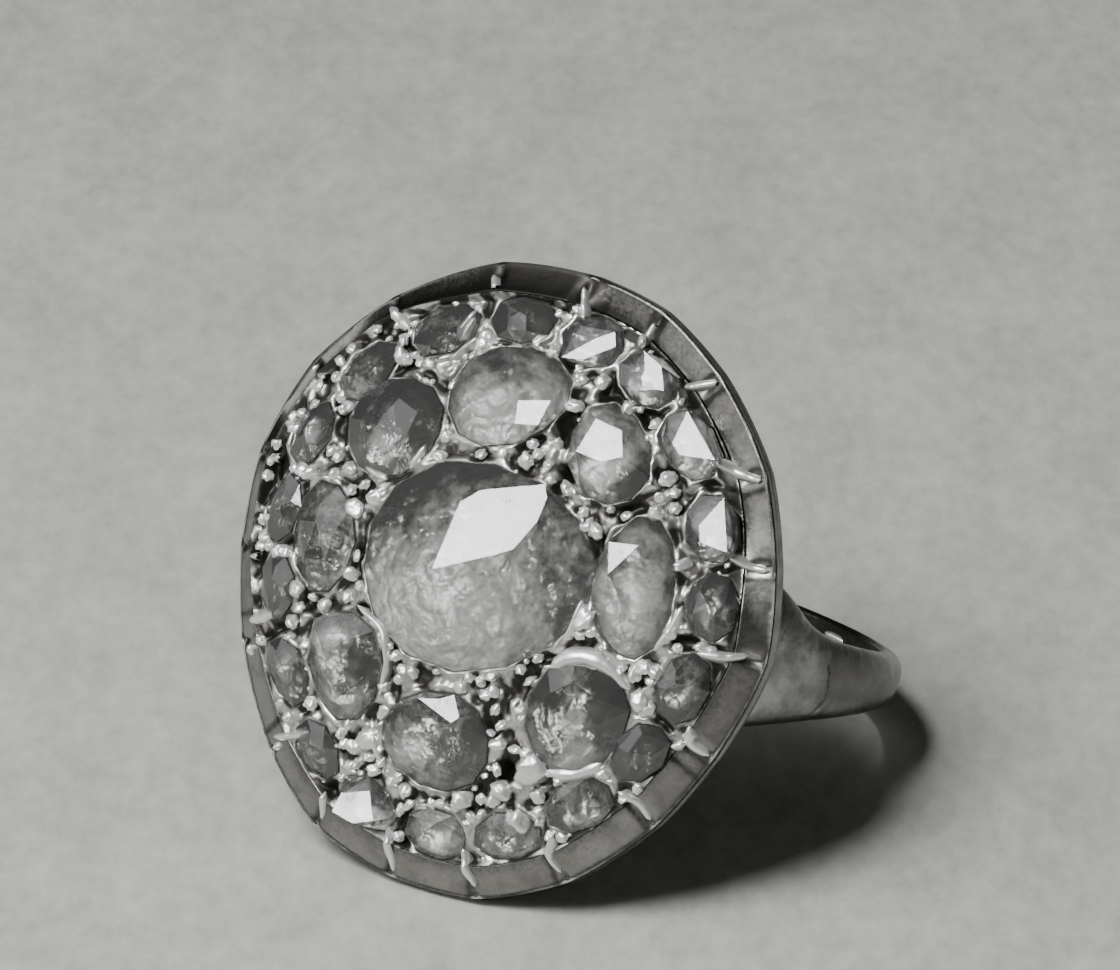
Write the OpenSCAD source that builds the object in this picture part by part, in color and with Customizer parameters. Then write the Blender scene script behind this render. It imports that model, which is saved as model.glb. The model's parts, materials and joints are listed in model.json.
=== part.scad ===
// Oval cluster ring: a silver hoop with wide shoulders and a closed-back head,
// set with one large stone, eight round it and nineteen in the outer row.
// Millimetres, in the pose it rests in: on the rim's bottom facet and the hoop's back.
// Floor at z = 0, face towards -Y and tilted up, hoop behind it at +Y.

/* [Hoop] */
// inside radius of the finger hole
finger_radius = 8.75; // [8.5:0.05:8.9]
// thickness of the band at its crest
band_thickness = 0.95; // [0.8:0.05:1.2]
// half the band's width at the back
back_half_width = 0.95; // [0.8:0.05:1.2]
// radius of the arc across the band's outer face
band_arc = 7; // [6.8:0.1:9]
// half the shoulders' width where they meet the head
shoulder_half_width = 3.2; // [3:0.1:3.3]

/* [Head] */
// from the finger hole's centre to the plane of the rim
rim_distance = 9.7; // [9.65:0.05:10.2]
// height of the plain wall under the rim
rim_wall = 0.65; // [0.5:0.05:0.75]
// height of the sloping collar
collar_height = 0.5; // [0.4:0.05:0.7]
// how far the collar's top lies inside the rim
collar_width = 1.05; // [0.95:0.05:1.1]
// radius of the domed bed of the stones
dome_radius = 23; // [22:1:26]
// height of the bed's top over the rim's plane
dome_top = 2.45; // [2.35:0.05:2.6]
// radius of the grains between the stones
grain_radius = 0.27; // [0.2:0.01:0.32]
// square bar that each claw is made of
claw_size = 0.62; // [0.5:0.02:0.7]

/* [Stones] */
// gap left round each stone in its seat
seat_gap = 0.03; // [0.02:0.01:0.05]
// how far a girdle stands over the bed
girdle_rise = 0.06; // [0.03:0.01:0.1]
// depth of a seat under the lowest part of a girdle
seat_depth = 0.35; // [0.25:0.05:0.5]
// size of the ring of corners half way up a stone, as a share of its outline
upper_ring = 0.58; // [0.5:0.02:0.66]
// height of those corners, as a share of the crown
upper_height = 0.68; // [0.6:0.02:0.76]

/* [Hidden] */
$fn = 72;

// Rim corners, one at the foot of each claw, clockwise from the top of the face.
// clock angle, distance of the rim from the head's centre
CLAWS = [
  [340.0, 10.70],
  [359.0, 10.65],
  [14.5, 10.65],
  [31.5, 10.45],
  [52.0, 10.35],
  [70.0, 10.20],
  [88.0, 10.35],
  [108.0, 10.10],
  [126.0, 10.25],
  [146.5, 10.60],
  [165.5, 10.85],
  [183.5, 10.85],
  [201.5, 10.90],
  [218.0, 10.50],
  [240.0, 10.15],
  [258.5, 10.15],
  [277.0, 10.40],
  [296.5, 10.55],
  [317.0, 10.55]
];

// Stones: clock angle, distance from the centre, long half, short half,
// turn of the long half from the width, corners, crown height.
CENTRE = [345, 0.23, 4.30, 3.42, 10, 14, 0.80];
INNER = [
  [349, 6.08, 2.17, 1.62, 22, 12, 0.60],
  [31, 6.15, 1.68, 1.28, 130, 10, 0.55],
  [76, 5.80, 2.30, 1.25, 102, 12, 0.60],
  [124, 6.05, 1.88, 1.58, 70, 12, 0.60],
  [177, 5.78, 2.00, 1.55, 12, 12, 0.60],
  [221, 5.92, 1.78, 1.48, 115, 10, 0.55],
  [264, 6.20, 1.82, 1.28, 110, 10, 0.55],
  [307, 6.12, 1.86, 1.62, 25, 12, 0.55]
];
OUTER = [
  [347.5, 8.72, 1.10, 0.70, 10, 8, 0.40],
  [6, 8.65, 1.00, 0.74, 175, 8, 0.42],
  [22.5, 8.64, 1.02, 0.70, 160, 8, 0.40],
  [41, 8.48, 1.18, 0.68, 140, 8, 0.42],
  [61, 8.36, 1.06, 0.69, 121, 8, 0.42],
  [79, 8.36, 1.02, 0.70, 103, 8, 0.40],
  [99, 8.24, 1.12, 0.70, 84, 8, 0.40],
  [117.5, 8.26, 1.02, 0.68, 60, 8, 0.38],
  [137, 8.45, 1.15, 0.70, 42, 8, 0.42],
  [156.5, 8.78, 1.18, 0.68, 24, 8, 0.38],
  [174.5, 8.90, 1.06, 0.74, 8, 8, 0.42],
  [192.5, 8.92, 1.06, 0.72, 168, 8, 0.42],
  [210, 8.78, 1.00, 0.70, 150, 8, 0.38],
  [229, 8.32, 1.15, 0.70, 141, 8, 0.38],
  [249.5, 8.14, 1.04, 0.68, 112, 8, 0.36],
  [268, 8.34, 1.04, 0.68, 92, 8, 0.36],
  [286.5, 8.54, 1.06, 0.70, 74, 8, 0.38],
  [306.5, 8.56, 1.16, 0.74, 54, 8, 0.42],
  [328, 8.60, 1.20, 0.74, 32, 8, 0.42]
];

// Grains: clock angle and distance from the centre.
GRAINS = [
  [7, 4.20],
  [31, 4.40],
  [50, 4.45],
  [95, 4.75],
  [150, 4.05],
  [168, 3.85],
  [208, 3.95],
  [252, 4.75],
  [285, 4.75],
  [322, 4.20],
  [12, 6.55],
  [54, 6.70],
  [101, 6.65],
  [153, 5.75],
  [199, 5.80],
  [242, 6.00],
  [287, 6.30],
  [331, 6.60],
  [358, 7.85],
  [14, 7.70],
  [24, 7.60],
  [32, 7.95],
  [46, 7.45],
  [54, 7.35],
  [69, 7.35],
  [87, 7.20],
  [98, 7.20],
  [108, 7.55],
  [128, 7.95],
  [146, 7.70],
  [158, 7.55],
  [168, 7.70],
  [184, 7.80],
  [194, 7.75],
  [202, 7.60],
  [219, 7.90],
  [240, 7.55],
  [258, 7.80],
  [279, 7.75],
  [297, 8.05],
  [317, 8.10],
  [338, 7.90]
];

// Hoop's outline from the side of the face: height towards the head, widening of each edge.
SHOULDERS = [
  [-2.0, 0],
  [0.8, 0.07],
  [1.7, 0.13],
  [2.3, 0.22],
  [2.8, 0.39],
  [3.4, 0.70],
  [4.1, 1.04],
  [4.9, 1.33],
  [6.0, 1.65]
];
// heights where the shoulders have nearly their full width, and all of it
shoulder_rise = 7.5;
shoulder_top = 9.3;
shoulder_rounding = 0.25;

// Claws: how far their upper and lower ends lie from the rim, and how far they drop.
claw_start = 1.95;
claw_end = 0.15;
claw_height = 1.05;
claw_drop = 1.02;

// Outline of a stone: where its first corner lies, and how much it differs from an oval.
first_corner = 11;
unevenness = 0.035;

// Longer than anything that it cuts.
through = 30;

function at_clock(c, r) = [r * sin(c), r * cos(c)];

function dome(p) = dome_top - dome_radius
  + sqrt(dome_radius * dome_radius - p[0] * p[0] - p[1] * p[1]);

rim_outline = [for (c = CLAWS) at_clock(c[0], c[1])];
bed_outline = [for (c = CLAWS) at_clock(c[0], c[1] - collar_width)];

// Rest pose: the rim's lowest side and the hoop's back edge at one height.
LOWEST = [CLAWS[10], CLAWS[11]];
roll = 180 - (LOWEST[0][0] + LOWEST[1][0]) / 2;
facet_distance = LOWEST[0][1] * cos((LOWEST[1][0] - LOWEST[0][0]) / 2);
contact_distance = rim_distance - rim_wall;
band_radius = finger_radius + band_thickness;
edge_radius = band_radius - band_arc + sqrt(band_arc * band_arc - back_half_width * back_half_width);
rest_arm = facet_distance - back_half_width * cos(roll);
rest_a = contact_distance * contact_distance - edge_radius * edge_radius;
rest_b = rest_arm * contact_distance;
rest_c = rest_arm * rest_arm - pow(edge_radius * sin(roll), 2);
rest_slope = (rest_b - sqrt(rest_b * rest_b - rest_a * rest_c)) / rest_a;
face_tilt = atan(rest_slope);
floor_shift = facet_distance * cos(face_tilt) - contact_distance * sin(face_tilt);
// half the difference of the reaches to the back and to the front, from the finger hole
back_shift = -2.36;
// half the difference of the reaches to the right and to the left
side_shift = 0.09;

module resting() {
  translate([-side_shift, -back_shift, floor_shift])
    rotate([90 - face_tilt, 0, 0])
      rotate([0, 0, -roll])
        children();
}

function outline(s, grow) = [
  for (i = [0 : s[5] - 1])
    let (
      t = 360 * i / s[5] + first_corner,
      k = 1 + unevenness * cos(3 * t + s[0]),
      x = (s[2] + grow) * k * cos(t),
      y = (s[3] + grow) * k * sin(t),
      o = at_clock(s[0], s[1])
    )
    [o[0] + x * cos(s[4]) - y * sin(s[4]), o[1] + x * sin(s[4]) + y * cos(s[4])]
];

function seat_floor(s) = min([for (p = outline(s, 0)) dome(p)]) - seat_depth;

module stone(s) {
  n = s[5];
  m = n / 2;
  o = at_clock(s[0], s[1]);
  ring = outline(s, 0);
  base = seat_floor(s) + seat_gap;
  low = [for (p = ring) [p[0], p[1], base]];
  girdle = [for (p = ring) [p[0], p[1], dome(p) + girdle_rise]];
  upper = [
    for (j = [0 : m - 1])
      let (q = o + upper_ring * (ring[2 * j + 1] - o))
      [q[0], q[1], dome(q) + girdle_rise + upper_height * s[6]]
  ];
  top = [[o[0], o[1], dome(o) + girdle_rise + s[6]]];
  translate([0, 0, rim_distance])
    polyhedron(
      points = concat(low, girdle, upper, top),
      faces = concat(
        [[for (i = [0 : n - 1]) i]],
        [for (i = [0 : n - 1]) [i, n + i, n + (i + 1) % n, (i + 1) % n]],
        [for (j = [0 : m - 1]) [n + 2 * j + 1, n + 2 * j, 2 * n + j]],
        [for (j = [0 : m - 1]) [n + (2 * j + 2) % n, n + 2 * j + 1, 2 * n + j]],
        [for (j = [0 : m - 1]) [n + (2 * j + 2) % n, 2 * n + j, 2 * n + (j + 1) % m]],
        [for (j = [0 : m - 1]) [2 * n + (j + 1) % m, 2 * n + j, 2 * n + m]]
      )
    );
}

module seat(s) {
  translate([0, 0, rim_distance + seat_floor(s)])
    linear_extrude(height = through)
      polygon(outline(s, seat_gap));
}

module hoop() {
  b = back_half_width;
  w = shoulder_half_width;
  edge = concat(
    [[-through / 2, b]],
    [for (e = SHOULDERS) [e[0], b + e[1]]],
    [[shoulder_rise, w - shoulder_rounding], [shoulder_top, w]]
  );
  intersection() {
    rotate([90, 0, 0])
      rotate_extrude()
        intersection() {
          translate([band_radius - band_arc, 0]) circle(r = band_arc);
          translate([finger_radius, -w]) square([2 * band_thickness, 2 * w]);
        }
    translate([-through / 2, 0, 0])
      rotate([90, 0, 90])
        linear_extrude(height = through)
          polygon(concat(
            [for (e = edge) [e[1], e[0]]],
            [for (i = [len(edge) - 1 : -1 : 0]) [-edge[i][1], edge[i][0]]]
          ));
  }
}

module claw(c) {
  run = claw_start - claw_end;
  rotate([0, 0, -c[0]])
    translate([0, c[1] - claw_start, rim_distance + claw_height])
      rotate([-atan(claw_drop / run), 0, 0])
        translate([0, 0, -claw_size * sqrt(0.5)])
          rotate([0, 45, 0])
            translate([-claw_size / 2, 0, -claw_size / 2])
              cube([claw_size, sqrt(run * run + claw_drop * claw_drop), claw_size]);
}

// From half way up the plain wall to over the stones, inside an outline.
module above_wall(shape) {
  translate([0, 0, rim_distance - rim_wall / 2])
    linear_extrude(height = rim_wall + dome_top)
      polygon(shape);
}

module collar() {
  slice = 0.01;
  hull() {
    translate([0, 0, rim_distance - slice])
      linear_extrude(height = slice)
        polygon(rim_outline);
    translate([0, 0, rim_distance + collar_height - slice])
      linear_extrude(height = slice)
        polygon(bed_outline);
  }
}

module bed() {
  intersection() {
    translate([0, 0, rim_distance + dome_top - dome_radius]) sphere(r = dome_radius);
    above_wall(bed_outline);
  }
}

module ring_mounting() {
  color("silver")
    resting()
      difference() {
        union() {
          hoop();
          translate([0, 0, rim_distance - rim_wall])
            linear_extrude(height = rim_wall)
              polygon(rim_outline);
          collar();
          bed();
          intersection() {
            union() for (c = CLAWS) claw(c);
            above_wall(rim_outline);
          }
          for (g = GRAINS)
            let (p = at_clock(g[0], g[1]))
            translate([p[0], p[1], rim_distance + dome(p)])
              sphere(r = grain_radius);
        }
        rotate([90, 0, 0]) cylinder(r = finger_radius, h = through, center = true);
        seat(CENTRE);
        for (s = INNER) seat(s);
        for (s = OUTER) seat(s);
      }
}

module centre_stone() {
  color("white") resting() stone(CENTRE);
}

module inner_stone(i) {
  color("white") resting() stone(INNER[i - 1]);
}

module outer_stone(i) {
  color("white") resting() stone(OUTER[i - 1]);
}

ring_mounting();
centre_stone();
for (i = [1 : len(INNER)])
  inner_stone(i);
for (i = [1 : len(OUTER)])
  outer_stone(i);
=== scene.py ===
"""Cluster ring: silver mounting, stones over foil, pale paper and two soft lamps.

Shapes are worked out in millimetres along the head's own axes: across the face, up the face and
out of the face, from the middle of the finger hole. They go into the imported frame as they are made."""
import json
import math

import bmesh
import bpy
import numpy as np
from mathutils import Matrix, Vector, noise


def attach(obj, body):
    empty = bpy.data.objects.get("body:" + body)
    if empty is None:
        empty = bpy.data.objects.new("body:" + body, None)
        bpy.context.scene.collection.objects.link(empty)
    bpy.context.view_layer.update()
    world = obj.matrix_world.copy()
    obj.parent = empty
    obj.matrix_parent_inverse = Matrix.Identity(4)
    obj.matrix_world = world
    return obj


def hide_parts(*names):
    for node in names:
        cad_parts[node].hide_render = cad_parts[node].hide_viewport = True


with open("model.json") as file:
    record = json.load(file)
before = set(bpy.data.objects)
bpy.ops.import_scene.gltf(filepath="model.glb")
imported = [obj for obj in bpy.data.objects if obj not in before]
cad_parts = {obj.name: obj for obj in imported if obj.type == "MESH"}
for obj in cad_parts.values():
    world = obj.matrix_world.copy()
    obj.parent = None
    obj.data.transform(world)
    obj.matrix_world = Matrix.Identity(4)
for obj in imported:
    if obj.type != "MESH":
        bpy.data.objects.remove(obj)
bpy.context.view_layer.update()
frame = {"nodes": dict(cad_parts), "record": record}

# The head's axes, from the finger hole that the record states
HOLE = frame["record"]["mounts"][0]
HOLE_CENTRE = np.array(HOLE["pos_m"]) * 1000
FINGER = np.array(HOLE["axis"]) / np.linalg.norm(HOLE["axis"])
LEAN = math.atan2(FINGER[1], FINGER[2])
OUT = np.array([0, -math.cos(LEAN), math.sin(LEAN)])
AXES = np.stack([np.cross(FINGER, OUT), FINGER, OUT])

# Driving sizes of the mounting
FINGER_RADIUS = HOLE["dims"]["r_mm"]
BAND_THICKNESS = 0.95
RIM_HEIGHT = 9.7
RIM_WALL = 0.65
DOME_RADIUS = 23.0
DOME_TOP = 2.45

# How far a stone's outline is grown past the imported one, so that no gap shows
GROWTH = {"centre": 0.10, "inner": 0.10, "outer": 0.14}

# How far a surface that shows the lamp falls, for each millimetre to the right and to the top
LAMP_FALL = np.array([0.145, 0.26])

# Photograph: frame, the finger hole's place in it, and the long lens it was taken with
FRAME_WIDTH = 1120
FRAME_HEIGHT = 970
HOLE_PIXEL = (631.6, 595.9)
PIXELS_PER_MM = 29.0
CAMERA_DISTANCE = 380.0
CAMERA_AZIMUTH = 30.09
CAMERA_ELEVATION = 26.73
CAMERA_ROLL = -0.42

ROOT = "root"
MOUNTING = "ring_mounting"
RANDOM = np.random.default_rng(19)


def at_clock(clock, distance):
    """Across and up the face, clockwise from its top."""
    turn = math.radians(clock)
    return np.array([distance * math.sin(turn), distance * math.cos(turn)])


def clock_of(places):
    """Clock angles of places across and up the face."""
    return np.degrees(np.arctan2(*places.T)) % 360


def by_clock(table, clocks):
    """Numbers between the rows of a table of clock angle and number, round the face."""
    return np.interp(clocks, *np.array(table).T, period=360)


def towards(azimuth, elevation):
    """Direction to something that stands that far round from the front and that high."""
    turn, lift = math.radians(azimuth), math.radians(elevation)
    return np.array([math.sin(turn) * math.cos(lift), -math.cos(turn) * math.cos(lift), math.sin(lift)])


def unevenness(places, scale, layer):
    """Smooth noise at places across and up the face."""
    return np.array([noise.noise(Vector((*place * scale, layer))) for place in places])


def dome(across, up):
    """Height of the stones' bed over the finger hole's axis."""
    fall = DOME_RADIUS - np.sqrt(np.maximum(DOME_RADIUS ** 2 - across ** 2 - up ** 2, 1))
    return RIM_HEIGHT + DOME_TOP - fall


def smooth_step(value, low, high):
    share = np.clip((value - low) / (high - low), 0, 1)
    return share * share * (3 - 2 * share)


def bump(value, width):
    return np.exp(-(value / width) ** 2)


def head_points(node):
    """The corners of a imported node, along the head's axes."""
    mesh = frame["nodes"][node].data
    flat = np.empty(len(mesh.vertices) * 3)
    mesh.vertices.foreach_get("co", flat)
    return np.unique(((flat.reshape(-1, 3) * 1000 - HOLE_CENTRE) @ AXES.T).round(3), axis=0)


# Pieces

def put(name, data):
    made = bpy.data.objects.new(name, data)
    bpy.context.scene.collection.objects.link(made)
    return made


def turned_to(axes, place):
    """The matrix of an object at a place in metres, with its three axes."""
    made = Matrix(np.stack(axes, 1).tolist()).to_4x4()
    made.translation = Vector(place)
    return made


def piece(name, points, faces, material, nodes, smooth=True, masks=None):
    """Makes a piece from points along the head's axes. masks are numbers kept for its material."""
    mesh = bpy.data.meshes.new(name)
    places = (HOLE_CENTRE + np.asarray(points, float) @ AXES) / 1000
    mesh.from_pydata(places.tolist(), [], faces)
    mesh.update()
    mesh.polygons.foreach_set("use_smooth", [smooth] * len(mesh.polygons))
    for mask, values in (masks or {}).items():
        layer = mesh.attributes.new(mask, "FLOAT", "POINT")
        layer.data.foreach_set("value", np.asarray(values, np.float32))
    mesh.materials.append(material)
    made = put(name, mesh)
    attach(made, ROOT)
    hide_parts(*nodes)
    return made


def grid_faces(rows, columns, closed=False):
    """Four-sided faces between neighbouring rows of points."""
    wrap = columns if closed else columns - 1
    return [
        (r * columns + c, r * columns + (c + 1) % columns,
         (r + 1) * columns + (c + 1) % columns, (r + 1) * columns + c)
        for r in range(rows - 1) for c in range(wrap)
    ]


# Node trees

def link(tree, source, target):
    tree.links.new(source, target)


def node(tree, kind, **settings):
    made = tree.nodes.new(kind)
    for name, value in settings.items():
        setattr(made, name, value)
    return made


def maths(tree, operation, first, second=0.5, third=0.5):
    made = node(tree, "ShaderNodeMath", operation=operation)
    for socket, value in zip(made.inputs, (first, second, third)):
        if isinstance(value, bpy.types.NodeSocket):
            link(tree, value, socket)
        else:
            socket.default_value = value
    return made.outputs[0]


def spread(tree, value, low, high, to_low=0.0, to_high=1.0):
    """A value's range made into another, with no more outside it."""
    made = node(tree, "ShaderNodeMapRange", clamp=True)
    link(tree, value, made.inputs["Value"])
    ends = {"From Min": low, "From Max": high, "To Min": to_low, "To Max": to_high}
    for name, number in ends.items():
        made.inputs[name].default_value = number
    return made.outputs["Result"]


def mixed(tree, share, first, second):
    """Two colours mixed by a share."""
    made = node(tree, "ShaderNodeMix", data_type="RGBA")
    link(tree, share, made.inputs[0])
    for socket, value in ((made.inputs[6], first), (made.inputs[7], second)):
        if isinstance(value, bpy.types.NodeSocket):
            link(tree, value, socket)
        else:
            socket.default_value = (*value, 1)
    return made.outputs[2]


def speckle(tree, scale, detail=4.0, roughness=0.55, stretch=(1, 1, 1), turn=0.0):
    """Noise at a scale for each millimetre, in the object's own space."""
    place = node(tree, "ShaderNodeTexCoord")
    mapping = node(tree, "ShaderNodeMapping", vector_type="TEXTURE" if turn else "POINT")
    mapping.inputs["Rotation"].default_value = (0, 0, turn)
    mapping.inputs["Scale"].default_value = [1 / (1000 * s) if turn else 1000 * s for s in stretch]
    made = node(tree, "ShaderNodeTexNoise")
    made.inputs["Scale"].default_value = scale
    made.inputs["Detail"].default_value = detail
    made.inputs["Roughness"].default_value = roughness
    link(tree, place.outputs["Object"], mapping.inputs["Vector"])
    link(tree, mapping.outputs["Vector"], made.inputs["Vector"])
    return made.outputs["Fac"]


def new_group(name, inputs, outputs):
    tree = bpy.data.node_groups.new(name, "ShaderNodeTree")
    for label, kind, value in inputs:
        socket = tree.interface.new_socket(label, in_out="INPUT", socket_type="NodeSocket" + kind)
        socket.default_value = value
    for label, kind in outputs:
        tree.interface.new_socket(label, in_out="OUTPUT", socket_type="NodeSocket" + kind)
    return tree, node(tree, "NodeGroupInput").outputs, node(tree, "NodeGroupOutput").inputs


def tarnish_and_shade_group():
    """Old silver: bright where it rubs, grey in patches, and towards black where its mask of painted
    shade and dirt is high.
    """
    tree, given, out = new_group(
        "tarnish_and_shade",
        [("Bright", "Color", (0.8, 0.79, 0.76, 1)), ("Dull", "Color", (0.3, 0.29, 0.27, 1)),
         ("Grime", "Color", (0.07, 0.068, 0.062, 1)), ("Patches", "Float", 0.5),
         ("Shade_and_dirt", "Float", 0.0), ("Smoothest", "Float", 0.15), ("Roughest", "Float", 0.5)],
        [("Colour", "Color"), ("Roughness", "Float")])
    clouds = speckle(tree, 0.9, 6.0, 0.6)
    specks = speckle(tree, 7.0, 4.0, 0.6)
    worn = maths(tree, "MULTIPLY", spread(tree, clouds, 0.42, 0.66), given["Patches"])
    pitted = maths(tree, "MULTIPLY", spread(tree, specks, 0.55, 0.75, 0, 0.5), given["Patches"])
    dull = maths(tree, "MAXIMUM", worn, pitted)
    silver = mixed(tree, dull, given["Bright"], given["Dull"])
    # painted shade and dirt: the mask turns the silver towards the dark colour
    darkening = maths(tree, "MULTIPLY_ADD", specks, 0.5, maths(tree, "SUBTRACT", given["Shade_and_dirt"], 0.25))
    dirt_and_shade = spread(tree, darkening, 0.25, 0.75)
    link(tree, mixed(tree, dirt_and_shade, silver, given["Grime"]), out["Colour"])
    rough = node(tree, "ShaderNodeMapRange")
    link(tree, maths(tree, "MAXIMUM", dull, dirt_and_shade), rough.inputs["Value"])
    link(tree, given["Smoothest"], rough.inputs["To Min"])
    link(tree, given["Roughest"], rough.inputs["To Max"])
    link(tree, rough.outputs["Result"], out["Roughness"])
    return tree


def hammer_group():
    """Fine unevenness of hand-worked metal, as a normal."""
    tree, given, out = new_group(
        "hand_work", [("Dents", "Float", 0.3), ("Scratches", "Float", 0.2)], [("Normal", "Vector")])
    dents = speckle(tree, 1.6, 2.0, 0.4)
    lines = speckle(tree, 5.0, 3.0, 0.6, (1, 9, 2))
    first = node(tree, "ShaderNodeBump")
    first.inputs["Distance"].default_value = 0.00012
    link(tree, given["Dents"], first.inputs["Strength"])
    link(tree, dents, first.inputs["Height"])
    second = node(tree, "ShaderNodeBump")
    second.inputs["Distance"].default_value = 0.00002
    link(tree, given["Scratches"], second.inputs["Strength"])
    link(tree, lines, second.inputs["Height"])
    link(tree, first.outputs["Normal"], second.inputs["Normal"])
    link(tree, second.outputs["Normal"], out["Normal"])
    return tree


def new_material(name):
    made = bpy.data.materials.new(name)
    made.use_nodes = True
    tree = made.node_tree
    return made, tree, tree.nodes["Principled BSDF"].inputs


def placed(tree, group, **values):
    made = node(tree, "ShaderNodeGroup", node_tree=group)
    for name, value in values.items():
        if isinstance(value, bpy.types.NodeSocket):
            link(tree, value, made.inputs[name])
        else:
            made.inputs[name].default_value = (*value, 1) if isinstance(value, tuple) else value
    return made.outputs


def mask(tree, name):
    return node(tree, "ShaderNodeAttribute", attribute_name=name).outputs["Fac"]


def silver(name, tarnish_and_shade, hand_work, dents=0.3, scratches=0.2, metallic=1.0, painted_light=None, **values):
    """A finish of the same silver. A mask of painted shade and dirt darkens it: painted shade in
    hollows, creases and under edges, painted dark reflections on the collar, and dirt. A mask of painted
    light paints the metal as bright as a given lighter colour, for light it catches."""
    made, tree, shader = new_material(name)
    values["Shade_and_dirt"] = mask(tree, "shade_and_dirt")
    if painted_light:
        values["Bright"] = mixed(tree, mask(tree, "painted_light"), values["Bright"], painted_light)
    look = placed(tree, tarnish_and_shade, **values)
    shader["Metallic"].default_value = metallic
    link(tree, look["Colour"], shader["Base Color"])
    link(tree, look["Roughness"], shader["Roughness"])
    link(tree, placed(tree, hand_work, Dents=dents, Scratches=scratches)["Normal"], shader["Normal"])
    return made


def stone_material():
    made, tree, shader = new_material("old_cut_stone")
    shader["Base Color"].default_value = (0.99, 0.99, 0.98, 1)
    shader["Transmission Weight"].default_value = 0.95
    shader["IOR"].default_value = 1.8
    link(tree, spread(tree, speckle(tree, 1.4, 5.0, 0.65), 0.45, 0.7, 0.0, 0.2), shader["Roughness"])
    return made


def foil_material(hand_work):
    """Crumpled foil behind a stone. Its mask darkens it from bright to black: tarnish, and painted shade
    towards its top, right and edge.
    """
    made, tree, shader = new_material("stone_foil")
    # painted shade over the foil's tarnish: the mask darkens its top, right and edge
    stain_and_shade = maths(tree, "MULTIPLY_ADD", speckle(tree, 1.7, 5.0, 0.6), 2.2,
                  maths(tree, "SUBTRACT", mask(tree, "stain_and_shade"), 1.1))
    dark = spread(tree, stain_and_shade, 0.0, 0.9)
    mottles = spread(tree, speckle(tree, 2.6, 4.0, 0.65), 0.40, 0.62)
    clean = mixed(tree, mottles, (0.70, 0.695, 0.68), (0.99, 0.985, 0.97))
    link(tree, mixed(tree, dark, clean, (0.04, 0.04, 0.035)), shader["Base Color"])
    link(tree, spread(tree, dark, 0.0, 0.6, 0.65, 1.0), shader["Metallic"])
    link(tree, spread(tree, dark, 0.0, 1.0, 0.46, 0.25), shader["Roughness"])
    link(tree, placed(tree, hand_work, Dents=2.2, Scratches=0.0)["Normal"], shader["Normal"])
    return made


def paper_material():
    made, tree, shader = new_material("pale_paper")
    grain = math.radians(CAMERA_AZIMUTH)
    clouds = speckle(tree, 0.3, 3.0, 0.5, (1, 0.5, 1), grain)
    fibres = speckle(tree, 1.4, 5.0, 0.65, (1, 0.5, 1), grain)
    both = maths(tree, "MULTIPLY_ADD", fibres, 0.6, maths(tree, "MULTIPLY", clouds, 0.4))
    link(tree, mixed(tree, spread(tree, both, 0.35, 0.65), (0.53, 0.532, 0.505), (0.75, 0.752, 0.72)),
         shader["Base Color"])
    shader["Roughness"].default_value = 0.9
    return made


TARNISH_AND_SHADE = tarnish_and_shade_group()
HAND_WORK = hammer_group()
# painted light: the lighter colour brightens the band's shoulder and lower side, for the light they
# catch
SATIN = silver("worn_silver", TARNISH_AND_SHADE, HAND_WORK, painted_light=(0.42, 0.415, 0.4), Patches=0.6,
               Smoothest=0.26, Roughest=0.42, Bright=(0.19, 0.187, 0.178), Dull=(0.11, 0.108, 0.1))
POLISHED = silver("polished_silver", TARNISH_AND_SHADE, HAND_WORK, dents=0.18, scratches=0.12, Patches=0.7,
                  Smoothest=0.2, Roughest=0.38, Bright=(0.33, 0.325, 0.31),
                  Dull=(0.18, 0.176, 0.166), Grime=(0.04, 0.039, 0.036))
CUT = silver("bright_cut_silver", TARNISH_AND_SHADE, HAND_WORK, dents=0.4, metallic=0.68, Patches=0.25,
             Smoothest=0.3, Roughest=0.45, Bright=(0.98, 0.975, 0.96), Dull=(0.66, 0.65, 0.62))
SEATING = silver("seat_silver", TARNISH_AND_SHADE, HAND_WORK, dents=0.5, scratches=0.3, Patches=0.8,
                 Smoothest=0.3, Roughest=0.5, Bright=(0.8, 0.79, 0.77), Dull=(0.34, 0.33, 0.31))
STONE = stone_material()
FOIL = foil_material(HAND_WORK)


def unit_ball(subdivisions=3):
    ball = bmesh.new()
    bmesh.ops.create_icosphere(ball, subdivisions=subdivisions, radius=1)
    points = np.array([v.co[:] for v in ball.verts])
    faces = [[v.index for v in f.verts] for f in ball.faces]
    ball.free()
    return points, faces


# Mounting: hoop

# Half width of the band above and below its middle line, by angle from the face
BAND_WIDTHS = (
    # angle, above, below
    (0, 3.10, 3.20), (22, 3.10, 3.20), (40, 2.95, 3.05), (52, 2.85, 2.75), (60, 2.45, 2.40),
    (68, 1.50, 2.05), (77, 1.15, 1.70), (90, 1.05, 1.35), (105, 0.95, 1.12), (130, 0.88, 1.00),
    (180, 0.90, 0.95),
)

# Thickness of the band at its edges, and how far its inner edges are rounded off
BAND_EDGE = 0.2
EDGE_ROUNDING = 0.12

# The thin open line on the near shoulder
SEAM = np.array([
    # across the band, angle from the face
    (-1.35, 74.6), (-1.20, 75.2), (-0.80, 76.0), (-0.45, 75.5), (0.40, 73.5),
])
SEAM_DEGREES = 0.4
SEAM_DEPTH = 0.05

# How dark the mask of painted shade and dirt makes the seam (a dark joint), the inside of the band
# (painted shade) and one patch outside it (darker there)
SEAM_STAIN = 0.6
INSIDE_SHADE = 0.55
PATCH_DARKENING = 0.5
PATCH_ANGLE, PATCH_ACROSS = 83, 0.45
PATCH_DEGREES, PATCH_WIDTH = 9, 0.55

# The bright drop of solder inside the band: its place, how far it is sunk, and its half sizes
DROP_ANGLE = 149.5
DROP_ACROSS = 0.36
DROP_SUNK = 0.06
DROP_LENGTH, DROP_WIDTH, DROP_DEPTH = 0.55, 0.16, 0.12
DROP_LEVELLING = 0.75


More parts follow.
